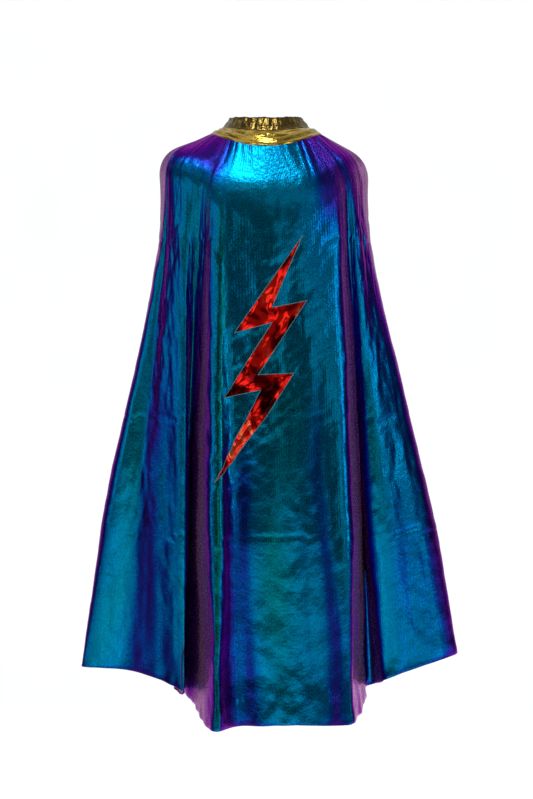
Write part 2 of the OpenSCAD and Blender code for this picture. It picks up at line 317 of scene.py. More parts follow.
def yoke_wrinkles(a, v):
    """Long pulls along the yoke, with one stitched-down dimple at the centre back."""
    x = np.radians(a) * 62
    drawn = 1.2 * rough(x / 46, v * 3.2 + x / 80, 25) + 0.6 * rough(x / 20, v * 6.0 - x / 50, 26)
    drawn += 0.4 * np.abs(rough(x / 28, v * 5.0 + x / 30, 27))
    dimple = np.exp(-(((x - 1.9) / 2.2) ** 2 + ((v - 0.36) * 22 / 1.8) ** 2))
    crown = np.sin(np.pi * np.clip(v, 0, 1))
    return 0.9 * crown + drawn * crown ** 0.5 - 1.2 * dimple


# ---------------------------------------------------------------------------------------------
# Meshes
# ---------------------------------------------------------------------------------------------

def make(name, points, faces, uv, material):
    """A smooth mesh from points in mm, its faces, and a flat coordinate in metres per point."""
    mesh = bpy.data.meshes.new(name)
    mesh.from_pydata((np.asarray(points) * MM).tolist(), [], [list(f) for f in faces])
    corners = np.zeros(len(mesh.loops), int)
    mesh.loops.foreach_get("vertex_index", corners)
    layer = mesh.uv_layers.new(name="UVMap")
    layer.data.foreach_set("uv", np.asarray(uv, np.float32)[corners].ravel())
    mesh.polygons.foreach_set("use_smooth", np.ones(len(mesh.polygons), bool))
    mesh.update()
    obj = bpy.data.objects.new(name, mesh)
    bpy.context.scene.collection.objects.link(obj)
    mesh.materials.append(material)
    return obj


def quads(rows, cols):
    j, i = np.mgrid[0:rows - 1, 0:cols - 1]
    a = (j * cols + i).ravel()
    return np.stack([a, a + cols, a + cols + 1, a + 1], 1)


ROLL_STEPS, ROLL_TURN = 6, 290  # rows in a rolled edge, and how far round it goes in degrees


def rolled(points, radius, way=1):
    """Adds rows after a grid's last row that roll it under, away from the surface's outer side.
    way is -1 where the grid is seen from its inner side."""
    last, before = points[-1], points[-2]
    onward = unit(last - before)
    out = unit(np.cross(onward, np.gradient(last, axis=0))) * way
    turns = np.radians(np.linspace(0, ROLL_TURN, ROLL_STEPS + 1))[1:]
    extra = [last + radius * (np.sin(t) * onward + (np.cos(t) - 1) * out) for t in turns]
    return np.concatenate([points, np.stack(extra)])


def roll_edges(points, radius, sides="blr"):
    """Rolls a grid of rows from the top down under at its bottom, left and right edges."""
    if "b" in sides:
        points = rolled(points, radius)
    if "r" in sides:
        points = np.swapaxes(rolled(np.swapaxes(points, 0, 1), radius, -1), 0, 1)
    if "l" in sides:
        flipped = np.swapaxes(points[:, ::-1], 0, 1)
        points = np.swapaxes(rolled(flipped, radius), 0, 1)[:, ::-1]
    return points


def even_columns(count):
    """Fold line numbers that lie evenly along the cloth, counted half at the hem, half higher."""
    length = HEM_LENGTH + CHEST_LENGTH
    return np.interp(np.linspace(length[0], length[-1], count), length, FINE_U)


def cloth_grid(columns, rows, v0, v1, depth):
    """A grid of the cloth's points at a depth below its outer side, wrinkles included."""
    us = even_columns(columns)
    vs = np.linspace(v0, v1, rows)
    u, v = (g.ravel() for g in np.meshgrid(us, vs))
    out = outward(cloth_points, u, v)
    points = cloth_points(u, v) + (cloth_wrinkles(u, v) - depth)[:, None] * out
    return points.reshape(rows, columns, 3)


def flat_uv(points):
    """Flat coordinates in metres, from the distances along the middle row and down each column."""
    down = np.cumsum(np.linalg.norm(np.diff(points, axis=0, prepend=points[:1]), axis=2), axis=0)
    row = points[len(points) * 3 // 4]
    along = np.cumsum(np.linalg.norm(np.diff(row, axis=0, prepend=row[:1]), axis=1))
    return np.stack([np.broadcast_to(along, down.shape), down], -1) * MM


def cloth_sheet(name, material, columns, rows, v0, v1, depth, roll, sides="blr"):
    """A sheet of the cloth at a depth below its outer side, rolled under at its free edges."""
    points = roll_edges(cloth_grid(columns, rows, v0, v1, depth), roll, sides)
    uv = flat_uv(points)
    faces = quads(*points.shape[:2])
    return make(name, points.reshape(-1, 3), faces, uv.reshape(-1, 2), material)


def path_length(points):
    return float(np.linalg.norm(np.diff(points, axis=0), axis=1).sum())


def rim_profile(length, thickness, inner):
    """Positions along a length, closer together near both ends, and how full the shell is there."""
    near = thickness * np.array([0, 0.05, 0.2, 0.45, 0.8])
    middle = np.linspace(thickness, length - thickness, inner)
    at = np.concatenate([near, middle, (length - near)[::-1]])
    return at / length


def shell(name, material, slot, surface, a0, a1, v0, v1, d0, d1, count, rows, wrinkles=None,
          lift=None):
    """A closed band of fabric with rounded edges between two distances from a surface.
    wrinkles(a, v) and lift(a, v) each move both sides outward."""
    line_a, line_v = np.linspace(a0, a1, 90), np.linspace(v0, v1, 40)
    long_a = path_length(surface(line_a, np.full(90, (v0 + v1) / 2)))
    long_v = path_length(surface(np.full(40, (a0 + a1) / 2), line_v))
    t = d1 - d0
    pa, pv = rim_profile(long_a, t, count), rim_profile(long_v, t, rows)
    a, v = np.meshgrid(mix(a0, a1, pa), mix(v0, v1, pv))
    edge = np.minimum(np.minimum(pa, 1 - pa)[None, :] * long_a,
                      np.minimum(pv, 1 - pv)[:, None] * long_v)
    full = np.sqrt(1 - (1 - np.clip(edge / t, 0, 1)) ** 2)
    shape, a, v = a.shape, a.ravel(), v.ravel()
    base, out = surface(a, v), outward(surface, a, v)
    height = np.zeros_like(a)
    for extra in (wrinkles, lift):
        if extra:
            height = height + extra(a, v)
    middle = (d0 + d1) / 2 + height
    half = t / 2 * full.ravel()
    front = base + (middle + half)[:, None] * out
    back = base + (middle - half)[:, None] * out
    n_rows, n_cols = shape
    n = n_rows * n_cols
    outer = quads(n_rows, n_cols)
    inner = quads(n_rows, n_cols)[:, ::-1] + n
    faces = np.concatenate([outer, inner])
    # the rim is shared: the two sides meet there with no thickness
    rim = np.zeros(shape, bool)
    rim[0], rim[-1], rim[:, 0], rim[:, -1] = True, True, True, True
    link = np.arange(2 * n)
    link[n:][rim.ravel()] = np.arange(n)[rim.ravel()]
    faces = link[faces]
    used = np.zeros(2 * n, bool)
    used[faces.ravel()] = True
    index = np.cumsum(used) - 1
    points = np.concatenate([front, back])[used]
    uv = np.stack([np.tile(pa * long_a, n_rows), np.repeat(pv * long_v, n_cols)], 1) * MM
    uv = np.concatenate([uv, uv + [0, (long_v + 5) * MM]])[used]
    if a1 < a0:
        faces = faces[:, ::-1]
    obj = make(name, points, index[faces], uv, material)
    obj["flat_mm"] = [long_a, long_v]
    return obj


def declare_band(obj):
    """Takes off the flat size in mm that shell() stored on the piece. Declares a shell as a
    sheet of cloth, as long as it was made and at least NARROWEST wide.
    """
    del obj["flat_mm"]


# ---------------------------------------------------------------------------------------------
# Materials
# ---------------------------------------------------------------------------------------------

class Nodes:
    """The nodes of a new material with one Principled shader, or of a world, and short ways to
    add to them."""

    def __init__(self, name, world=False):
        self.material = (bpy.data.worlds if world else bpy.data.materials).new(name)
        self.material.use_nodes = True
        self.tree = self.material.node_tree
        self.shader = self.tree.nodes.get("Principled BSDF")

    def add(self, kind, inputs=None, **settings):
        made = self.tree.nodes.new("ShaderNode" + kind)
        for key, value in settings.items():
            setattr(made, key, value)
        for key, value in (inputs or {}).items():
            self.put(made.inputs[key], value)
        return made

    def put(self, socket, value):
        if isinstance(value, bpy.types.NodeSocket):
            self.tree.links.new(value, socket)
        else:
            socket.default_value = value

    def set(self, **inputs):
        for key, value in inputs.items():
            self.put(self.shader.inputs[key.replace("_", " ")], value)

    def math(self, operation, a, b=0.0, c=0.0):
        return self.add("Math", {0: a, 1: b, 2: c}, operation=operation).outputs[0]

    def flat(self, x_scale=1.0, y_scale=1.0, turn=0.0):
        """The piece's flat coordinates in metres, stretched."""
        uv = self.add("UVMap").outputs[0]
        return self.add("Mapping", {"Vector": uv, "Scale": (x_scale, y_scale, 1),
                                    "Rotation": (0, 0, turn)}).outputs[0]

    def noise(self, vector, scale, detail=2.0, rough=0.5, swirl=0.0):
        return self.add("TexNoise", {"Vector": vector, "Scale": scale, "Detail": detail,
                                     "Roughness": rough, "Distortion": swirl}).outputs[0]

    def wave(self, vector, scale, distortion=0.0, direction="X"):
        return self.add("TexWave", {"Vector": vector, "Scale": scale, "Distortion": distortion,
                                    "Detail": 1.0}, bands_direction=direction).outputs[1]

    def ramp(self, value, stops):
        made = self.add("ValToRGB", {0: value})
        ramp = made.color_ramp
        while len(ramp.elements) < len(stops):
            ramp.elements.new(0.5)
        for element, (at, colour) in zip(ramp.elements, stops):
            element.position = at
            element.color = (*colour, 1)
        return made.outputs[0]

    def spread(self, value, low, high, start=0.3, end=0.7):
        """A value that goes from low to high as the given one goes from start to end. The middle
        of a noise's range is from 0.3 to 0.7."""
        return self.add("MapRange", {0: value, 1: start, 2: end, 3: low, 4: high}).outputs[0]

    def mixed(self, factor, a, b):
        made = self.add("Mix", data_type="RGBA")
        colours = [s for s in made.inputs if s.type == "RGBA"]
        self.put(made.inputs[0], factor)
        for socket, value in zip(colours, (a, b)):
            self.put(socket, value if isinstance(value, bpy.types.NodeSocket) else (*value, 1))
        return [s for s in made.outputs if s.type == "RGBA"][0]

    def bump(self, height, depth_mm, strength=1.0, normal=None):
        inputs = {"Height": height, "Distance": depth_mm * MM, "Strength": strength}
        if normal is not None:
            inputs["Normal"] = normal
        return self.add("Bump", inputs).outputs[0]


KNIT_PITCH = 1.5  # mm
RIB_SCALE = 6.3  # puts the ribs two pitches apart, as a wave of scale 1 repeats every 0.31 m


def knit(m):
    """The relief of a fine stretch knit under foil: short upright cells with uneven shine."""
    cells = m.noise(m.flat(1.0, 0.55), 1000 / KNIT_PITCH, 3.0, 0.7)
    ribs = m.wave(m.flat(), 1000 / (KNIT_PITCH * RIB_SCALE), 1.2)
    return m.math("MULTIPLY_ADD", ribs, 0.35, cells)


def foil_material():
    """Foil-printed knit that turns from teal through blue and violet to pink at a slant, partly by the
    shader's facing and partly by painted reflection colour stored on the mesh.
    """
    m = Nodes("cape_foil")
    relief = knit(m)
    speckle = m.noise(m.flat(1.0, 0.7), 620, 3.0, 0.65)
    drift = m.noise(m.flat(1.0, 0.45), 9, 3.0, 0.55)
    seen = m.add("LayerWeight", {"Blend": 0.5}).outputs["Facing"]
    slant = m.add("Attribute", attribute_name="slant").outputs["Fac"]
    tint = m.add("Attribute", attribute_name="tint").outputs["Fac"]
    # The shader's facing gives 0.6 of the turn. The slant from straight behind, stored on the mesh,
    # gives 0.4, and the painted reflection attribute adds to it: the colour the foil shows at an
    # angle, painted in as it looks from behind.
    turn = m.math("MULTIPLY_ADD", slant, 0.4, m.math("MULTIPLY", seen, 0.6))
    turn = m.math("ADD", turn, tint)
    turn = m.math("ADD", turn, m.spread(speckle, -0.05, 0.07))
    turn = m.math("ADD", turn, m.spread(drift, -0.05, 0.05))
    turn = m.math("ADD", turn, 0.10)
    colour = m.ramp(turn, [(0.0, (0.0, 0.22, 0.18)), (0.06, (0.0, 0.29, 0.38)),
                           (0.13, (0.0, 0.29, 0.54)), (0.21, (0.0, 0.26, 0.62)),
                           (0.29, (0.0, 0.11, 0.50)), (0.35, (0.01, 0.03, 0.38)),
                           (0.44, (0.05, 0.006, 0.30)), (0.53, (0.15, 0.008, 0.40)),
                           (0.64, (0.30, 0.03, 0.50)), (0.78, (0.44, 0.10, 0.50)),
                           (0.97, (0.52, 0.24, 0.46))])
    pits = m.noise(m.flat(1.0, 0.6), 430, 4.0, 0.75)
    colour = m.mixed(m.spread(pits, 0.0, 0.45), colour, (0.0, 0.03, 0.08))
    # Less metal where the cloth slants, so that its diffuse part takes up the even fill: painted light
    # that lifts the shade in the valleys.
    painted_light_mix = m.spread(slant, 0.98, 0.8, 0.25, 0.8)
    m.set(Base_Color=colour, Metallic=painted_light_mix, Roughness=m.spread(speckle, 0.17, 0.30),
          Specular_Tint=(0.75, 0.40, 0.70, 1.0),
          Normal=m.bump(relief, 0.16, 0.7, m.bump(m.noise(m.flat(), 110, 4.0, 0.6), 0.9, 0.5)))
    return m.material


def gold_material(name, colour, shade, low, high, crease_mm):
    """Crinkled metallic lame, with random patches of painted shade towards the darker colour."""
    m = Nodes(name)
    weave = m.math("ADD", m.wave(m.flat(), 320, 0.6), m.wave(m.flat(), 320, 0.6, "Y"))
    # Random patches mixed towards the darker colour: painted shade in the crinkled lame.
    painted_light_mix = m.noise(m.flat(1.0, 2.2), 70, 4.0, 0.6)
    creases = m.noise(m.flat(1.0, 1.4), 1000 / crease_mm, 3.0, 0.6)
    m.set(Base_Color=m.mixed(m.spread(painted_light_mix, 0, 1), colour, shade), Metallic=1.0,
          Roughness=m.spread(m.noise(m.flat(), 400, 3.0), low, high),
          Normal=m.bump(weave, 0.03, 0.35, m.bump(creases, 0.8, 0.5)))
    return m.material


def lining_material():
    m = Nodes("lining")
    twill = m.wave(m.flat(turn=0.9), 500, 0.4)
    slub = m.noise(m.flat(1.0, 0.08), 900, 2.0)
    m.set(Base_Color=m.mixed(m.spread(slub, 0, 1), (0.010, 0.008, 0.070), (0.022, 0.016, 0.12)),
          Roughness=m.spread(slub, 0.30, 0.45), Specular_IOR_Level=0.22, Sheen_Weight=0.04,
          Sheen_Roughness=0.4,
          Normal=m.bump(m.math("ADD", twill, slub), 0.06, 0.5))
    return m.material


def bolt_material():
    """Mirror-like foil film, lightly rippled where it is bonded down, with painted reflections in its
    colour: dark patches and orange highlights.
    """
    m = Nodes("bolt_foil")
    ripples = m.noise(m.flat(1.0, 0.6), 24, 3.0, 0.4)
    grain = m.noise(m.flat(), 900, 2.0)
    # Painted reflections: noise patches run from near black through red to orange highlights.
    tint = m.noise(m.flat(1.0, 0.7, 0.6), 24, 2.5, 0.5, 1.6)
    red_with_painted_reflections = m.ramp(tint, [(0.40, (0.03, 0.0, 0.001)), (0.47, (0.25, 0.001, 0.002)),
                        (0.51, (0.85, 0.008, 0.005)), (0.60, (1.0, 0.025, 0.010)),
                        (0.66, (1.0, 0.17, 0.06))])
    m.set(Base_Color=red_with_painted_reflections, Metallic=0.84, Roughness=m.spread(grain, 0.05, 0.12),
          Specular_Tint=(1.0, 0.55, 0.40, 1.0),
          Normal=m.bump(grain, 0.02, 0.3, m.bump(ripples, 2.2, 0.55)))
    return m.material


def thread_material(name, colour, shade, sheen):
    m = Nodes(name)
    twist = m.wave(m.flat(turn=0.6), 900, 0.5)
    m.set(Base_Color=m.mixed(twist, colour, shade), Sheen_Weight=sheen,
          Roughness=m.spread(m.noise(m.flat(), 1500), 0.3, 0.5),
          Normal=m.bump(twist, 0.08, 0.7))
    return m.material


def woven_material(name, colour, shade, pitch_mm, depth_mm, rough_low, rough_high):
    m = Nodes(name)
    both = m.math("MAXIMUM", m.wave(m.flat(), 160 / pitch_mm, 0.5),
                  m.wave(m.flat(), 160 / pitch_mm, 0.5, "Y"))
    fibre = m.noise(m.flat(1.0, 0.5), 1400, 3.0)
    m.set(Base_Color=m.mixed(m.spread(fibre, 0, 1), colour, shade),
          Roughness=m.spread(fibre, rough_low, rough_high), Sheen_Weight=0.25,
          Normal=m.bump(m.math("ADD", both, fibre), depth_mm, 0.6))
    return m.material


def hook_material():
    m = Nodes("hook_tape")
    rows = m.math("MULTIPLY", m.wave(m.flat(), 180, 0.2), m.wave(m.flat(), 180, 0.2, "Y"))
    dust = m.noise(m.flat(), 300, 3.0)
    m.set(Base_Color=m.mixed(rows, (0.012, 0.012, 0.014), (0.075, 0.075, 0.08)),
          Roughness=m.spread(dust, 0.35, 0.55), Normal=m.bump(rows, 0.5, 0.9))
    return m.material


def floor_material():
    m = Nodes("floor")
    coords = m.add("TexCoord").outputs["Object"]
    cloudy = m.noise(coords, 3.0, 3.0)
    m.set(Base_Color=m.mixed(m.spread(cloudy, 0, 1), (0.90, 0.90, 0.90), (0.93, 0.93, 0.93)),
          Roughness=0.9)
    return m.material


FOIL = foil_material()
# The stand's lame is a darker copy of the yoke's: painted shade of the same gold cloth.
SHADED_STAND_GOLD = gold_material("stand_lame_painted_shade", (0.30, 0.20, 0.055), (0.14, 0.09, 0.02), 0.14, 0.28, 4.0)
YOKE_GOLD = gold_material("yoke_lame", (0.76, 0.51, 0.10), (0.44, 0.26, 0.025), 0.10, 0.22, 9.0)
LINING = lining_material()
BOLT_FOIL = bolt_material()
BORDER = thread_material("border_thread", (0.06, 0.24, 0.30), (0.02, 0.10, 0.15), 0.3)
THREAD = thread_material("sewing_thread", (0.42, 0.28, 0.07), (0.24, 0.15, 0.03), 0.2)
INTERFACING = woven_material("interfacing", (0.40, 0.36, 0.26), (0.50, 0.46, 0.34), 0.8, 0.1,
                             0.8, 0.95)
TAPE = woven_material("seam_tape", (0.012, 0.010, 0.05), (0.03, 0.025, 0.09), 0.6, 0.15, 0.6, 0.8)
HOOK = hook_material()
LOOP = woven_material("loop_tape", (0.012, 0.012, 0.014), (0.05, 0.05, 0.055), 0.5, 0.5, 0.85, 1.0)
LABEL = woven_material("label", (0.86, 0.86, 0.84), (0.93, 0.93, 0.92), 0.35, 0.05, 0.35, 0.5)


# ---------------------------------------------------------------------------------------------
# Pieces
# ---------------------------------------------------------------------------------------------

def stitches(name, material, middles, alongs, outs, length, radius):
    """Short round-ended threads lying on a surface, one at each middle point."""
    around, rings = 6, np.array([-1, -0.8, -0.35, 0.35, 0.8, 1.0])
    full = np.array([0.05, 0.62, 1, 1, 0.62, 0.05])
    turns = np.arange(around) * 2 * math.pi / around
    side = np.cross(outs, alongs)
    points, faces, uvs, cell = [], [], [], []
    for r in range(len(rings) - 1):
        for k in range(around):
            a, b = r * around + k, r * around + (k + 1) % around
            cell.append([a, b, b + around, a + around])
    cell = np.array(cell)
    for n, (p, d, o, s) in enumerate(zip(middles, alongs, outs, side)):
        for x, f in zip(rings, full):
            circle = (np.cos(turns)[:, None] * s + np.sin(turns)[:, None] * o) * radius * f
            bow = o * radius * (0.6 * (1 - x * x))
            points.append(p + d * x * length / 2 + bow + circle)
            uvs.append(np.stack([np.full(around, x * length / 2 + 3.7 * n), turns * radius], 1) * MM)
        faces.append(cell + n * len(rings) * around)
    return make(name, np.concatenate(points), np.concatenate(faces), np.concatenate(uvs),
                material)


def lift(obj):
    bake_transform(obj)


# Long painted streaks of reflection colour, where the foil is made to lean to green (-) or to violet
# (+)
# as its folds do at their angle: the fold line number of the middle, the half width in fold lines,
# the share of the length where it starts, and how much
PAINTED_STREAKS = [(3.55, 0.35, 0.45, -0.05), (4.4, 0.50, 0.30, 0.09), (5.6, 0.35, 0.40, -0.02),
           (8.0, 0.60, 0.20, -0.17), (10.9, 0.35, 0.15, -0.13), (12.2, 0.45, 0.54, 0.22),
           (13.4, 0.40, 0.62, -0.05), (15.0, 0.30, 0.44, 0.15), (15.5, 0.35, 0.84, 0.10),
           (20.95, 0.12, 0.50, 0.12)]
# A painted highlight along the rolled hem, painted violet on the slanting shoulders, and painted teal
# on tops that tilt up under the overhead light
HEM_PAINTED_HIGHLIGHT, SHOULDER_PAINTED_VIOLET, TOP_PAINTED_TEAL = 0.07, 0.25, -0.4


def slanted(obj, columns, rows):
    """Stores how far each point's normal leans away from straight behind the wearer, and the painted
    reflection colour of the foil: its painted streaks, a painted highlight along the hem, painted
    violet on the shoulders and painted teal where the cloth tilts up."""
    mesh = obj.data
    normals = np.zeros(len(mesh.vertices) * 3, np.float32)
    mesh.vertices.foreach_get("normal", normals)
    aside, _, tilt = normals.reshape(-1, 3).T
    slant = 1 - np.sqrt(1 - np.clip(aside, -1, 1) ** 2)
    mesh.attributes.new("slant", "FLOAT", "POINT").data.foreach_set("value", slant)
    edge = len(mesh.vertices) // (rows + ROLL_STEPS) - columns - ROLL_STEPS
    u = np.pad(even_columns(columns), (edge, ROLL_STEPS), "edge")
    v = np.pad(np.linspace(NECK_START, 1, rows), (0, ROLL_STEPS), "edge")
    u, v = np.meshgrid(u, v)
    at_drift = u + 0.35 * rough(v * 3.0, u * 0.35, 50)
    tint = sum(amount * np.exp(-((at_drift - at) / half) ** 2)
               * smooth(v, start - 0.08, start + 0.10) for at, half, start, amount in PAINTED_STREAKS)
    # Painted highlight: the hem's last rows and its roll turn bluer.
    tint[rows - 2:] += HEM_PAINTED_HIGHLIGHT
    angle = np.interp(u, np.arange(LAST + 1), NECK_ANGLES)
    low = 0.15 + 0.07 * smooth(angle, -10, 10)  # the violet reaches lower on the right shoulder
    # Painted violet where the shoulders slant.
    tint += SHOULDER_PAINTED_VIOLET * smooth(np.abs(angle), 25, 44) * (1 - smooth(v, low - 0.08, low))
    # Painted teal where the cloth tilts up towards the overhead light, against the shader's own turn.
    tint = tint.ravel() + TOP_PAINTED_TEAL * np.clip(tilt, 0, 0.6) ** 2
    mesh.attributes.new("tint", "FLOAT", "POINT").data.foreach_set("value", tint)


def make_cape():
    columns, rows = 390, 226
    cape = cloth_sheet("cape_cloth", FOIL, columns, rows, NECK_START, 1.0, 0.0, 0.7)
    slanted(cape, columns, rows)
    lift(cape)
    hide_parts("cape_shoulders", "cape_drape")
    return cape


def make_lining():
    lining = cloth_sheet("cape_lining", LINING, 250, 150, NECK_START, 0.993, 1.5, 0.4,
                         "b")
    lift(lining)
    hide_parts("lining_shoulders", "lining_drape")
    return lining


# Corners of the bolt's outline as seen from behind, x and z
BOLT = [(43, -142), (7, -227), (48, -219), (-9, -306), (33, -304), (0, -356), (-27, -391),
        (-59, -432), (-38, -384), (-24, -360), (-6, -324), (-49, -333), (7, -245), (-37, -257)]


def share_on_back(x, z):
    """Fold line numbers and shares at which the back of the cloth shows x and z from behind,
    found by Newton's method from a first guess between the two ridges."""
    numbers = np.arange(10.0, 17.0)
    lines = cloth_points(numbers, np.full(len(numbers), 0.45))
    u = np.interp(x, lines[:, 0], numbers)
    v = np.interp(-z, [100, 716], [0.12, 1.0])
    e = 1e-3
    for _ in range(15):
        here = cloth_points(u, v)[:, [0, 2]]
        by_u = (cloth_points(u + e, v)[:, [0, 2]] - here) / e
        by_v = (cloth_points(u, v + e)[:, [0, 2]] - here) / e
        miss = np.stack([x, z], 1) - here
        det = by_u[:, 0] * by_v[:, 1] - by_u[:, 1] * by_v[:, 0]
        u = u + np.clip((miss[:, 0] * by_v[:, 1] - miss[:, 1] * by_v[:, 0]) / det, -0.5, 0.5)
        v = v + np.clip((by_u[:, 0] * miss[:, 1] - by_u[:, 1] * miss[:, 0]) / det, -0.1, 0.1)
    return u, v


def on_back(x, z, height):
    """Points at a height above the wrinkled back of the cloth, and the directions outward."""
    u, v = share_on_back(x, z)
    out = outward(cloth_points, u, v)
    return cloth_points(u, v) + (cloth_wrinkles(u, v) + height)[:, None] * out, out


def outline_points(corners, step):
    """Points along a closed outline at about this spacing, its corners included."""
    corners = np.array(corners, float)
    out = []
    for p, q in zip(corners, np.roll(corners, -1, axis=0)):
        n = max(1, round(float(np.linalg.norm(q - p)) / step))
        out += [mix(p, q, k / n) for k in range(n)]
    return np.array(out)


def distance_to_outline(points, corners):
    corners = np.array(corners, float)
    best = np.full(len(points), 1e9)
    for p, q in zip(corners, np.roll(corners, -1, axis=0)):
        d = q - p
        t = np.clip(((points - p) @ d) / (d @ d), 0, 1)
        best = np.minimum(best, np.linalg.norm(points - p - t[:, None] * d, axis=1))
    return best


FILM_STEP, FILM_HEIGHT = 2.0, 0.45  # spacing of the film's points, its height at the edge
THREAD_STEP, THREAD_HEIGHT = 0.8, 0.85  # the same of the threads that border it


def flat_bolt():
    """The bolt's flat outline filled with triangles: its points and their numbers."""
    edge = outline_points(BOLT, FILM_STEP)
    low, high = edge.min(0), edge.max(0)
    xs, zs = np.meshgrid(*(np.arange(a, b, FILM_STEP) for a, b in zip(low, high)))
    xs = xs + (np.arange(len(xs)) % 2)[:, None] * FILM_STEP / 2
    inner = np.stack([xs.ravel(), zs.ravel()], 1)
    inner = inner[distance_to_outline(inner, BOLT) > FILM_STEP / 2]
    n = len(edge)
    loop = [(k, (k + 1) % n) for k in range(n)]
    flat, _, tris, *_ = delaunay_2d_cdt([Vector(p) for p in np.concatenate([edge, inner])], loop,
                                        [list(range(n))], 1, 1e-4)
    flat = np.array([tuple(p) for p in flat])
    tris = np.array([list(t) for t in tris if len(t) == 3])
    used = np.zeros(len(flat), bool)
    used[tris.ravel()] = True
    return flat[used], (np.cumsum(used) - 1)[tris]


def make_bolt():
    flat, tris = flat_bolt()
    x, z = flat.T
    swell = smooth(distance_to_outline(flat, BOLT), 0, 5)
    ripple = rough(x / 34, z / 40, 30) + 0.3 * rough(x / 13, z / 19, 31)
    height = FILM_HEIGHT + swell * np.maximum(0.9 + 0.8 * ripple, 0)
    points, out = on_back(x, z, height)
    a, b, c = (points[tris[:, k]] for k in range(3))
    wrong = (np.cross(b - a, c - a) * out[tris[:, 0]]).sum(1) < 0
    tris[wrong] = tris[wrong][:, ::-1]
    bolt = make("bolt_film", points, tris, flat * MM, BOLT_FOIL)
    lift(bolt)
    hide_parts("lightning_bolt")
    return bolt


def make_border():
    """A narrow satin-stitched edge round the bolt: a row of threads laid across the edge."""
    at = outline_points(BOLT, THREAD_STEP)
    ahead = unit(np.roll(at, -1, axis=0) - np.roll(at, 1, axis=0))
    middle, out = on_back(at[:, 0], at[:, 1], THREAD_HEIGHT)
    beside, _ = on_back(at[:, 0] + ahead[:, 1], at[:, 1] - ahead[:, 0], THREAD_HEIGHT)
    border = stitches("bolt_border_stitches", BORDER, middle,
                      unit(beside - middle), out, 1.1, 0.3)
    lift(border)
    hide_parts("bolt_border")
    return border


# Thicknesses of the collar's layers, and where the inner sides of its core and tape lie,
# measured outward from the surface of its outer cloth
CLOTH_T, LAYER_GAP, LINING_T, CORE_T = 0.8, 0.4, 0.6, 0.4
CORE_D = -CLOTH_T - LAYER_GAP - CORE_T
TAPE_D = -3.6 - LINING_T
CROWN = 1.0  # radius of the stand's rounded top
FACING_FOOT, FACING_END = -9, 174
CROWN_SHARE = 0.15  # share of the facing that goes over the rounded top


def facing_points(a, v):
    """From the stand's top edge over the collar's rounded top and down the neck side."""
    top = ring(a, TOP_RING)
    out = unit(top * [1, 1, 0])
    centre = top + ruffle(a) - CROWN * out
    turn = np.clip(v / CROWN_SHARE, 0, 1)[:, None] * math.pi
    point = centre + CROWN * (np.cos(turn) * out + np.sin(turn) * [0, 0, 1])
    fall = np.clip((v - CROWN_SHARE) / (1 - CROWN_SHARE), 0, 1)
    point[:, 2] = mix(point[:, 2], FACING_FOOT, fall)
    return point


def stand_edge(a, v):
    """The stand's lower edge is turned under and stands proud of the yoke as a thin cord."""
    cord = 0.45 * np.exp(-((1 - v) / 0.07) ** 2)
    return cord + 0.3 * np.exp(-(v / 0.12) ** 2) * rough(a / 9, 0, 33)


def yoke_edge(a, v):
    """The yoke's lower edge stands off the cape."""
    return 0.9 * smooth(v, 0.75, 1.0)


def make_collar():
    stand = shell("stand_cloth", SHADED_STAND_GOLD, "gold_lame", stand_points, *STAND_ENDS, 0.0, 1.0,
                  -CLOTH_T, 0, 420, 30, stand_wrinkles, stand_edge)
    stand_core = shell("stand_interfacing", INTERFACING, "interfacing", stand_points, *STAND_ENDS,
                       0.2, 0.92, CORE_D, CORE_D + CORE_T, 120, 8)
    facing = shell("neck_facing", SHADED_STAND_GOLD, "gold_lame", facing_points, -FACING_END, FACING_END,
                   0.0, 1.0, -LINING_T / 2, LINING_T / 2, 320, 34)
    yoke = shell("yoke_cloth", YOKE_GOLD, "gold_lame", yoke_points, -YOKE_END, YOKE_END,
                 -0.01, 1.03, -CLOTH_T, 0, 460, 40, yoke_wrinkles, yoke_edge)
    yoke_core = shell("yoke_interfacing_core", INTERFACING, "interfacing", yoke_points, -YOKE_END,
                      YOKE_END, 0.06, 0.93, CORE_D, CORE_D + CORE_T, 120, 8)
    back = CORE_D - LAYER_GAP
    yoke_lining = shell("yoke_inner_facing", YOKE_GOLD, "gold_lame", yoke_points, -YOKE_END,
                        YOKE_END, 0.02, 0.96, back - LINING_T, back, 300, 20)
    tape = shell("neck_tape", TAPE, "seam_tape", yoke_points, -YOKE_END, YOKE_END, 0.62, 0.98,
                 TAPE_D, TAPE_D + LINING_T, 240, 8)
    for piece, node, inner in ((stand, "collar_stand", "stand_interfacing"),
                               (stand_core, "collar_interfacing", "stand_cloth"),
                               (facing, "collar_facing", "stand_cloth"),
                               (yoke, "collar_yoke", "yoke_interfacing_core"),
                               (yoke_core, "yoke_interfacing", "yoke_cloth"),
                               (yoke_lining, "yoke_facing", "yoke_interfacing_core"),
                               (tape, "neck_seam_tape", "yoke_inner_facing")):
        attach(piece, "collar")
        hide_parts(node)
        declare_band(piece)


# The closing tab folds at its own end of the stand and covers the other end. Angles of its root
# and its end, and of the stretch in which it rises over the patches
TAB_FOLD = STAND_ENDS[0] + 360
TAB_START, TAB_END, TAB_RISE = TAB_FOLD - 1.7, TAB_FOLD - 46, 12
# The patches' first angle, how far round they go, and their shares of the stand's height
PATCH_FROM, PATCH_SWEEP, PATCH_V = TAB_END + 2, 22, (0.14, 0.84)
# Distances of the two patches and the tab from the stand, and the patches' thicknesses
LOOP_D, LOOP_T, HOOK_T = 0.3, 1.2, 1.0
HOOK_D = LOOP_D + LOOP_T + 0.4
TAB_D = HOOK_D + HOOK_T + 0.3


def tab_lift(a, v):
    """The tab's distance from the stand."""
    return TAB_D * np.clip((TAB_START - a) / TAB_RISE, 0, 1)


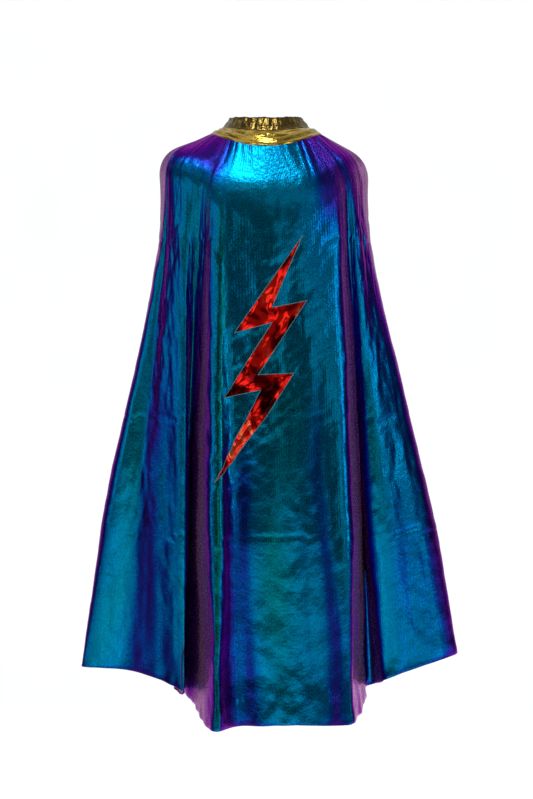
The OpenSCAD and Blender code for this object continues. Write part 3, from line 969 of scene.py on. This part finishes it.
def tab_crease(a, v):
    return 0.18 * rough(a / 4, v * 2, 40) + 0.1 * rough(a / 1.7, v * 3, 41)


def patch_stitches(name, depth):
    """Two rows of stitches along the long sides of a hook or loop patch."""
    margin, pitch = 1.5, 3.2
    angles = np.arange(PATCH_FROM + margin, PATCH_FROM + PATCH_SWEEP - margin, pitch)
    rows = [(a, v) for v in (PATCH_V[0] + 0.07, PATCH_V[1] - 0.07) for a in angles]
    a, v = (np.array(x) for x in zip(*rows))
    out = outward(stand_points, a, v)
    along = unit(stand_points(a + 0.5, v) - stand_points(a - 0.5, v))
    middle = stand_points(a, v) + (depth + 0.05) * out
    return stitches(name, THREAD, middle, along, out, 2.3, 0.17)


def make_closure():
    ends = (PATCH_FROM, PATCH_FROM + PATCH_SWEEP)
    tab = shell("closing_tab", SHADED_STAND_GOLD, "gold_lame", stand_points, TAB_END, TAB_START, 0.04, 0.95,
                0, CLOTH_T, 110, 26, tab_crease, tab_lift)
    hooks = shell("hook_tape", HOOK, "hook_tape", stand_points, *ends, *PATCH_V, HOOK_D,
                  HOOK_D + HOOK_T, 60, 22)
    loops = shell("loop_tape", LOOP, "loop_tape", stand_points, *ends, *PATCH_V, LOOP_D,
                  LOOP_D + LOOP_T, 60, 22)
    hook_rows = patch_stitches("hook_tape_stitches", TAB_D + CLOTH_T)
    loop_rows = patch_stitches("loop_tape_stitches", LOOP_D + LOOP_T)
    for piece, node, body in ((tab, "closure_tab", "tab"), (hooks, "hook_patch", "tab"),
                              (hook_rows, "hook_patch_stitches", "tab"),
                              (loops, "loop_patch", "collar"),
                              (loop_rows, "loop_patch_stitches", "collar")):
        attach(piece, body)
        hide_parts(node)
    declare_band(tab)
    declare_band(hooks)
    declare_band(loops)


def make_label():
    low, high = (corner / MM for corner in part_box("care_label")[:2])
    half, top, drop, y = high.x, high.z, high.z - low.z, (low.y + high.y) / 2

    def label_points(x, v):
        curl = 1.3 * v * v * (0.4 + (x / half) ** 2) - 0.5 * np.sin(x / half * 2.2) * v
        return np.stack([x, y + curl, top - drop * v], -1)

    label = shell("blank_label", LABEL, "label", label_points, -half, half, 0.0, 1.0, -0.2, 0.2,
                  50, 60)
    x = np.arange(-half + 2.5, half - 2, 3.1)
    v = np.full(len(x), 0.06)
    out = -outward(label_points, x, v)
    rows = stitches("label_stitches", THREAD, label_points(x, v) + 0.25 * out,
                    unit(label_points(x + 1, v) - label_points(x, v)), out, 2.2, 0.17)
    for piece, node in ((label, "care_label"), (rows, "care_label_stitches")):
        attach(piece, "label")
        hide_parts(node)
    declare_band(label)


cape, lining = make_cape(), make_lining()
bolt, border = make_bolt(), make_border()
make_collar()
make_closure()
make_label()


# ---------------------------------------------------------------------------------------------
# Floor, light and camera
# ---------------------------------------------------------------------------------------------

FLOOR_Z = -1.05
CAMERA_AT = Vector((0.0006, -1.8, -0.335))


def make_backdrop():
    """A floor that sweeps up into a plain wall behind the object."""
    near, wall, bend, half, tall, columns = -4.5, 3.2, 1.4, 6.0, 6.0, 12
    arc = [(wall - bend + bend * math.sin(t), FLOOR_Z + bend * (1 - math.cos(t)))
           for t in np.linspace(0, math.pi / 2, 24)]
    line = [(near, FLOOR_Z)] + arc + [(wall, FLOOR_Z + tall)]
    across = np.linspace(-half, half, columns)
    points = np.array([[(x, y, z) for x in across] for y, z in line]) / MM
    mesh = make("studio_floor", points.reshape(-1, 3), quads(len(line), columns)[:, ::-1],
                points.reshape(-1, 3)[:, :2] * MM, floor_material())
    mesh.visible_glossy = False


def area_light(name, at, towards, size, power):
    data = bpy.data.lights.new(name, "AREA")
    data.shape, data.size, data.size_y = "RECTANGLE", *size
    data.energy = power
    lamp = bpy.data.objects.new(name, data)
    lamp.location = at
    lamp.rotation_euler = (Vector(towards) - Vector(at)).to_track_quat("-Z", "Y").to_euler()
    bpy.context.scene.collection.objects.link(lamp)


# Brightness of the studio in reflections by height, from straight down to straight up: a lit
# floor, a dark room, and a pale ceiling
ROOM = [(-1.0, 0.15), (-0.5, 0.7), (-0.35, 1.1), (-0.28, 1.1), (-0.19, 0.6), (-0.12, 0.16),
        (-0.05, 0.03), (0.3, 0.025), (0.6, 0.15), (1.0, 0.2)]
# How much dimmer its sides are, how the right side differs from the left, how bright the wall
# behind the object is, and the even fill that matt surfaces get
ROOM_SIDES, ROOM_LEAN, ROOM_BACK, ROOM_FILL = -0.5, 0.3, 0.4, 1.0


def make_world():
    """White behind the object, and a dimmer studio in its reflections."""
    m = Nodes("studio", world=True)
    bpy.context.scene.world = m.material
    path = m.add("LightPath").outputs
    way = m.add("TexCoord").outputs["Generated"]
    x, y, z = m.add("SeparateXYZ", {0: way}).outputs
    height = m.math("MULTIPLY_ADD", z, 0.5, 0.5)
    level = m.ramp(height, [((at + 1) / 2, (bright,) * 3) for at, bright in ROOM])
    clutter = m.spread(m.noise(way, 3.2, 1.0), 0.35, 1.7, 0.35, 0.65)
    sides = m.math("MULTIPLY_ADD", m.math("ABSOLUTE", x), ROOM_SIDES, 1)
    sides = m.math("MULTIPLY_ADD", x, ROOM_LEAN, sides)
    sides = m.math("MULTIPLY", sides, clutter)
    lamps = m.spread(m.noise(way, 4.5, 0.0), 0.0, 0.8, 0.60, 0.72)
    back = m.spread(y, 0.0, ROOM_BACK, 0.0, 0.6)
    level = m.math("ADD", m.math("MULTIPLY_ADD", level, sides, back), lamps)
    level = m.math("MULTIPLY_ADD", path["Is Diffuse Ray"], ROOM_FILL, level)
    room = m.add("Background", {0: (0.93, 0.97, 1.0, 1), 1: level}).outputs[0]
    seen = m.add("Background", {0: (1, 1, 1, 1)}).outputs[0]
    both = m.add("MixShader", {0: path["Is Camera Ray"], 1: room, 2: seen}).outputs[0]
    m.put(m.tree.nodes["World Output"].inputs[0], both)


make_backdrop()
make_world()
MIDDLE, YOKE_AT, BACK_AT = (0, -0.05, -0.35), (0, -0.1, -0.05), (0, -0.1, -0.25)
area_light("overhead", (-0.12, -0.62, 1.75), YOKE_AT, (0.4, 0.4), 8)
area_light("left_box", (-2.2, -1.4, 0.1), MIDDLE, (0.9, 1.7), 3.4)
area_light("right_box", (2.0, -1.75, 0.3), MIDDLE, (0.5, 1.3), 5.5)
area_light("front_box", (-1.5, -2.6, 0.35), BACK_AT, (0.4, 0.7), 1.5)
area_light("glow_box", (0.8, -2.6, -0.05), MIDDLE, (0.5, 0.9), 1.4)

camera_data = bpy.data.cameras.new("camera")
camera_data.sensor_fit, camera_data.sensor_height, camera_data.lens = "VERTICAL", 36, 64.88
camera = bpy.data.objects.new("camera", camera_data)
camera.location, camera.rotation_euler = CAMERA_AT, (math.pi / 2, 0, 0)
bpy.context.scene.collection.objects.link(camera)
bpy.context.scene.camera = camera
bpy.context.scene.view_settings.view_transform = "Standard"
